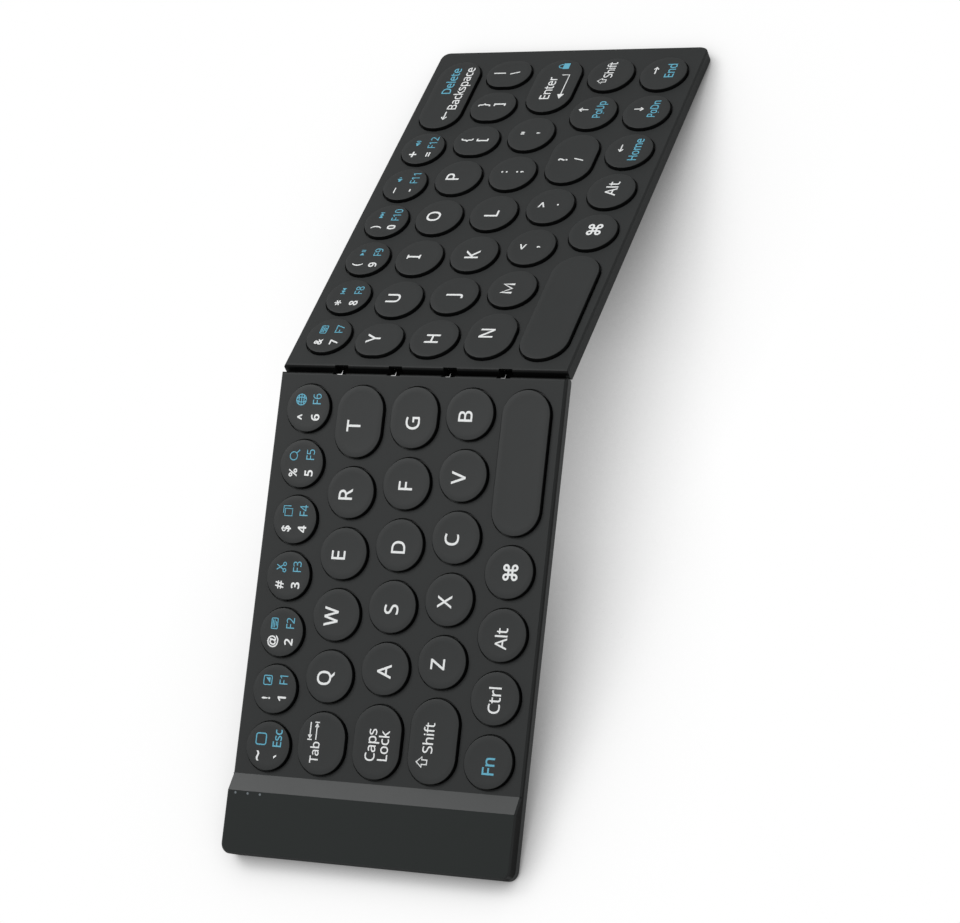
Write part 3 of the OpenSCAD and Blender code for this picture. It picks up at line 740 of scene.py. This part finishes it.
# The capital M is drawn too, because the font's own doesn't fill when it is made thicker.
DRAWN = {
    "capital M": [[(-1, -1), (-1, 1), (0, -0.8), (1, 1), (1, -1)]],
    "left": ARROW,
    "right": mirrored(ARROW),
    "up": UP_ARROW,
    "down": [[(x, -y) for x, y in path] for path in UP_ARROW],
    "shift": [
        [(0, 1), (1, 0.05), (0.45, 0.05), (0.45, -0.9)]
        + [(-0.45, -0.9), (-0.45, 0.05), (-1, 0.05), (0, 1)],
    ],
    "to left bar": TO_BAR,
    "to right bar": mirrored(TO_BAR),
    "return": [
        [(1, 1), (1, -0.4), (-0.7, -0.4)],
        ["solid", (-1, -0.4), (-0.62, 0.25), (-0.62, -1.05)],
    ],
    "lock": [["solid"] + box(-0.7, -1, 0.7, 0.15), arc(0, 0.2, 0.45, 0.75, 0, 180, 8)],
    "square": [round_box(-1, -1, 1, 1, 0.4)],
    "picture": [round_box(-1, -1, 1, 1, 0.3), ["solid", (-0.6, -0.6), (0.6, -0.6), (0.6, 0.5)]],
    "copy": [box(-1, -1, 0.5, 0.7), [(-0.4, 1.05), (1.05, 1.05), (1.05, -0.6)]],
    "keyboard": [
        round_box(-1.15, -0.75, 1.15, 0.75, 0.2),
        [(-0.85, 0.4), (0.85, 0.4)],
        [(-0.85, 0), (0.85, 0)],
        [(-0.5, -0.4), (0.5, -0.4)],
    ],
    "scissors": [
        ring(-0.6, -0.7, 0.32, 0.3),
        ring(0.6, -0.7, 0.32, 0.3),
        [(-0.45, -0.42), (0.5, 1)],
        [(0.45, -0.42), (-0.5, 1)],
    ],
    "glass": [ring(-0.15, 0.2, 0.75, 0.75), [(0.4, -0.35), (1, -0.95)]],
    "globe": [
        ring(0, 0, 1, 1),
        ring(0, 0, 0.45, 1),
        [(-0.95, 0), (0.95, 0)],
        [(-0.8, 0.5), (0.8, 0.5)],
        [(-0.8, -0.5), (0.8, -0.5)],
    ],
    "back": BACK + [[(-1.05, 0.6), (-1.05, -0.6)]],
    "forward": mirrored(BACK + [[(-1.05, 0.6), (-1.05, -0.6)]]),
    "play": [
        ["solid", (-1, 0.65), (0.05, 0), (-1, -0.65)],
        [(0.45, 0.6), (0.45, -0.6)],
        [(0.95, 0.6), (0.95, -0.6)],
    ],
    "quiet": SPEAKER + [arc(0.1, 0, 0.45, 0.5, -50, 50, 4)],
    "loud": SPEAKER + [arc(0.1, 0, 0.4, 0.45, -50, 50, 4), arc(0.1, 0, 0.85, 0.9, -50, 50, 6)],
}
# The font holds plain letters without serifs at these code points, and heavier digits.
SANS_CAPITALS, SANS_SMALL, SANS_DIGITS, HEAVY_DIGITS = 0x1D5A0, 0x1D5BA, 0x1D7E2, 0x1D7EC
SERIFLESS = {
    **{chr(ord("A") + i): chr(SANS_CAPITALS + i) for i in range(26)},
    **{chr(ord("a") + i): chr(SANS_SMALL + i) for i in range(26)},
    **{chr(ord("0") + i): chr(SANS_DIGITS + i) for i in range(10)},
}


def sign(body, x, y, tall, ink="white", wide=1, bold=0.035):
    return (body, x, y, tall, ink, wide, bold, False)


def drawn(name, x, y, tall, ink="white", wide=1, bold=0.4):
    return (DRAWN[name], x, y, tall, ink, wide, bold)


def digit(body, x, y, tall):
    """A number key's lower sign, which is a heavy digit or one of two plain signs."""
    if not body.isdigit():
        return sign(body, x, y, tall, bold=0.06)
    return (chr(HEAVY_DIGITS + int(body)), x, y, tall, "white", 1, 0, True)


def word(body, x, y, tall, ink="white", wide=1, bold=0.035):
    """A word without serifs. Digits in it stay thin, because thicker ones don't fill."""
    weight = 0 if any(c.isdigit() for c in body) else bold
    return ("".join(SERIFLESS.get(c, c) for c in body), x, y, tall, ink, wide, weight, True)


def letter(body, x, y):
    return [word(body, x, y, 4.1, bold=0.06)]


def pair(upper, lower, x, y=0):
    """A sign key's two signs, one over the other."""
    return [sign(upper, x, 2.9 + y, 2.9, bold=0.06), sign(lower, x, -2.3 + y, 2.9, bold=0.06)]


def number(upper, lower, icon, function, icon_tall=2.6, upper_tall=2.5):
    """A number key's four legends: two in white on the left, and two in blue on the right."""
    return [
        sign(upper, -2.7, 2.5, upper_tall, bold=0.07),
        digit(lower, -2.7, -2.7, 2.6),
        drawn(icon, 2.4, 2.5, icon_tall, "blue", bold=0.32),
        word(function, 2.7, -2.7, 2.5, "blue", wide=0.9, bold=0.03),
    ]


def arrow(way, x, y, function):
    """An arrow key's two legends."""
    return [drawn(way, x, y, 3.0, bold=0.45), function]


# For each key node, its caps' legends in the caps' order
LEGENDS = {
    "keys_left_numbers": [
        [
            sign("~", -2.9, 3.0, 3.4, bold=0.08),
            sign("`", -2.9, -2.6, 3.4, bold=0.08),
            drawn("square", 1.9, 2.4, 3.2, "blue"),
            word("Esc", 2.4, -2.9, 2.6, "blue", wide=0.95),
        ],
        number("!", "1", "picture", "F1"),
        number("@", "2", "keyboard", "F2"),
        number("#", "3", "scissors", "F3", 3.0),
        number("$", "4", "copy", "F4", 2.8),
        number("%", "5", "glass", "F5", 3.2),
        number("^", "6", "globe", "F6", 3.2),
    ],
    "keys_right_numbers": [
        number("&", "7", "keyboard", "F7"),
        number("*", "8", "back", "F8", 2.3, 3.2),
        number("(", "9", "play", "F9", 2.2),
        number(")", "0", "forward", "F10", 2.3),
        number("_", "-", "quiet", "F11", 2.2, 3.0),
        number("+", "=", "loud", "F12", 2.2, 3.4),
        [
            word("Delete", 6.6, 1.7, 2.9, "blue"),
            drawn("left", -9.7, -1.8, 3.6, bold=0.5),
            word("Backspace", 3.0, -3.0, 2.9),
        ],
    ],
    "keys_left_edge": [
        [word("Fn", -1.1, -0.3, 3.4, "blue", bold=0.06)],
        [word("Ctrl", -0.5, 0, 3.4)],
        [word("Alt", -1.0, 0, 3.4)],
        [sign("⌘", 0, -0.5, 4.0, bold=0.1)],
        [drawn("shift", -5.9, 2.8, 3.4, wide=0.85, bold=0.5), word("Shift", 0.9, 1.4, 2.9)],
        [word("Caps", -0.8, 1.7, 2.9), word("Lock", -0.8, -2.3, 2.9)],
        [
            word("Tab", -2.6, 1.8, 2.5),
            drawn("to left bar", 3.4, 3.9, 2.6, wide=1.9, bold=0.4),
            drawn("to right bar", 3.4, 1.9, 2.6, wide=1.9, bold=0.4),
        ],
    ],
    "keys_right_edge": [
        [sign("⌘", 1.0, -0.2, 4.0, bold=0.1)],
        [word("Alt", 1.0, 0, 3.4)],
        arrow("left", 1.3, 2.9, word("Home", 0.6, -2.1, 2.7, "blue", wide=0.9)),
        arrow("down", 1.3, 2.9, word("PgDn", 1.3, -2.1, 2.5, "blue", wide=0.85)),
        arrow("right", 1.4, 2.9, word("End", 1.3, -2.1, 2.8, "blue", wide=0.95)),
        pair("<", ",", 0.1),
        pair(">", ".", 0.6),
        pair("?", "/", -0.3),
        arrow("up", 1.4, 3.6, word("PgUp", 1.4, -1.6, 2.5, "blue", wide=0.85)),
        [
            drawn("shift", -2.9, 2.0, 2.9, wide=0.85, bold=0.45),
            word("Shift", 2.2, 0.7, 2.7, wide=0.9),
        ],
        pair(":", ";", 0.6),
        pair('"', "'", 0.5),
        pair("{", "[", 0.3, 0.3),
        pair("}", "]", 0.8, 0.3),
        pair("|", "\\", 0.4, 0.3),
    ],
    "key_enter": [
        [
            word("Enter", -1.0, 1.4, 3.0),
            drawn("return", -0.5, -2.9, 3.6, wide=3.1, bold=0.4),
            drawn("lock", 9.2, -0.4, 3.6, "blue", bold=0.35),
        ]
    ],
}
for letters, x, y in (
    ("as", -0.7, 0.1),
    ("df", -0.6, 0.1),
    ("g", -1.6, 0.1),
    ("qwer", -0.5, 1.45),
    ("t", -1.3, 1.45),
    ("zxcvb", -0.6, 1.15),
    ("yuiop", 0.4, 1.8),
    ("hjkl", -0.2, 0.4),
    ("n", 0.9, 1.4),
):
    for name in letters:
        LEGENDS["key_" + name] = [letter(name.upper(), x, y)]
LEGENDS["key_m"] = [[drawn("capital M", 0.2, 1.4, 3.45, bold=0.85)]]

for node, keys in LEGENDS.items():
    side, places = KEYS[node]
    prints = []
    for (row, number_in_row), items in zip(places, keys):
        x, y, width, height = cell(side, row, number_in_row)
        for item in items:
            piece = (print_sign if isinstance(item[0], str) else print_lines)(*item)
            for vert in piece.data.vertices:
                vert.co.z += cap_top(vert.co.x, vert.co.y, width, height) + INK_T / 2
            piece.data.transform(Matrix.Translation((x, y, 0)))
            prints.append(piece)
    prints = join(prints, "legends_" + node)
    prints.data.transform(FRAMES[side])
    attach(prints, body_of(node))

# ---- Hinge ----
# Black nylon rails close the hinge edges. Four black nylon links join them, and turn between the
# rails' knuckles on drawn steel pins, which are blackened so that they don't shine in the gap.
nylon = new_material(
    "black_glass_filled_nylon",
    moulded_plastic("0A0A0A", "0E0E0E", 0.6, 0.4, 0.04, specular=0.15),
)
for node in ("left_hinge_rail", "right_hinge_rail", "hinge_links"):
    give(node, nylon)


def plain_metal(colour, roughness, scratch_mm, along=(1, 1, 1)):
    """Bare metal: fine scratches left by drawing or rolling."""

    def surface(tree):
        place = add_node(tree, "ShaderNodeTexCoord")
        scale = [a / (scratch_mm * MM) for a in along]
        mapping = add_node(
            tree,
            "ShaderNodeMapping",
            {"Vector": place.outputs["Object"], "Scale": scale},
        )
        scratches = add_node(
            tree,
            "ShaderNodeTexNoise",
            {"Vector": mapping.outputs[0], "Scale": 1, "Detail": 3},
        )
        gloss = add_node(
            tree,
            "ShaderNodeMapRange",
            {"Value": scratches.outputs["Fac"], 3: roughness - 0.1, 4: roughness + 0.1},
        )
        return add_node(
            tree,
            "ShaderNodeBsdfPrincipled",
            {"Base Color": srgb(colour), "Metallic": 1, "Roughness": gloss.outputs[0]},
        )

    return surface


pin_steel = new_material("blackened_drawn_steel", plain_metal("2A2A2C", 0.35, 0.3, (1, 0.05, 1)))
for side in ("left", "right"):
    give(side + "_hinge_pins", pin_steel)

# ---- Works ----
# A rolled steel plate, a printed polyester sheet and silicone domes lie under each half's keys.
# Black polyimide cables join the sheets to the board.
plate_steel = new_material("rolled_galvanised_steel", plain_metal("B4B6B8", 0.4, 1.5))


def thin_film(dark, light, roughness, track_mm):
    """Plastic film with printed tracks, which show as bands of another tone."""

    def surface(tree):
        tracks = add_node(
            tree,
            "ShaderNodeTexWave",
            {"Vector": millimetres(tree, track_mm), "Scale": 1, "Distortion": 0.4},
        )
        tone = add_node(
            tree,
            "ShaderNodeMix",
            {0: tracks.outputs["Fac"], 6: srgb(dark), 7: srgb(light)},
            data_type="RGBA",
        )
        return add_node(
            tree,
            "ShaderNodeBsdfPrincipled",
            {"Base Color": tone.outputs[2], "Roughness": roughness, "IOR": 1.6},
        )

    return surface


switch_film = new_material("printed_polyester_film", thin_film("AEB49C", "C6CBB6", 0.35, 6))
dark_film = new_material("black_polyimide_film", thin_film("100E0C", "1C1814", 0.4, 1.2))
silicone = new_material("milky_silicone_rubber", moulded_plastic("C4C4BC", "D0D0C8", 0.6, 0.5, 0.02))
for side in ("left", "right"):
    give(side + "_key_plate", plate_steel)
    give(side + "_switch_sheet", switch_film)
    give(side + "_domes", silicone)
    give(side + "_flex_cable", dark_film)
give("hinge_flex_cable", dark_film)

# ---- Board, battery and ports ----
# A small board, a pouch battery, a socket folded from tinned sheet, clear light guides and the
# power switch's slider, all under the raised block.
lacquer = new_material("green_solder_mask", thin_film("0E4426", "1B6238", 0.3, 1.5))
foil = new_material("crinkled_aluminium_foil", plain_metal("C9CACE", 0.4, 2.5))
tinplate = new_material("tinned_sheet_steel", plain_metal("C4C4C4", 0.28, 0.8))


def clear_guide(tree):
    """Clear polycarbonate over unlit lamps, which looks grey."""
    return add_node(
        tree,
        "ShaderNodeBsdfPrincipled",
        {"Base Color": srgb("8E979B"), "Roughness": 0.2, "IOR": 1.58, "Transmission Weight": 0.4},
    )


guides = new_material("clear_polycarbonate", clear_guide)
acetal = new_material("black_acetal", moulded_plastic("141414", "1B1B1B", 0.35, 0.5, 0.01))
for node, material in (
    ("controller_board", lacquer),
    ("battery", foil),
    ("charging_socket", tinplate),
    ("indicator_lenses", guides),
    ("power_switch_slider", acetal),
):
    give(node, material)

# ---- Feet and screws ----
# Soft black rubber pads are stuck under each half, and small blackened screws hold the trays.
rubber = new_material("black_silicone_rubber", moulded_plastic("121212", "1C1C1C", 0.8, 0.6, 0.05))
blackened = new_material("blackened_screw_steel", plain_metal("3A3A3C", 0.4, 0.4))
for side in ("left", "right"):
    give(side + "_feet", rubber)
    give(side + "_screws", blackened)
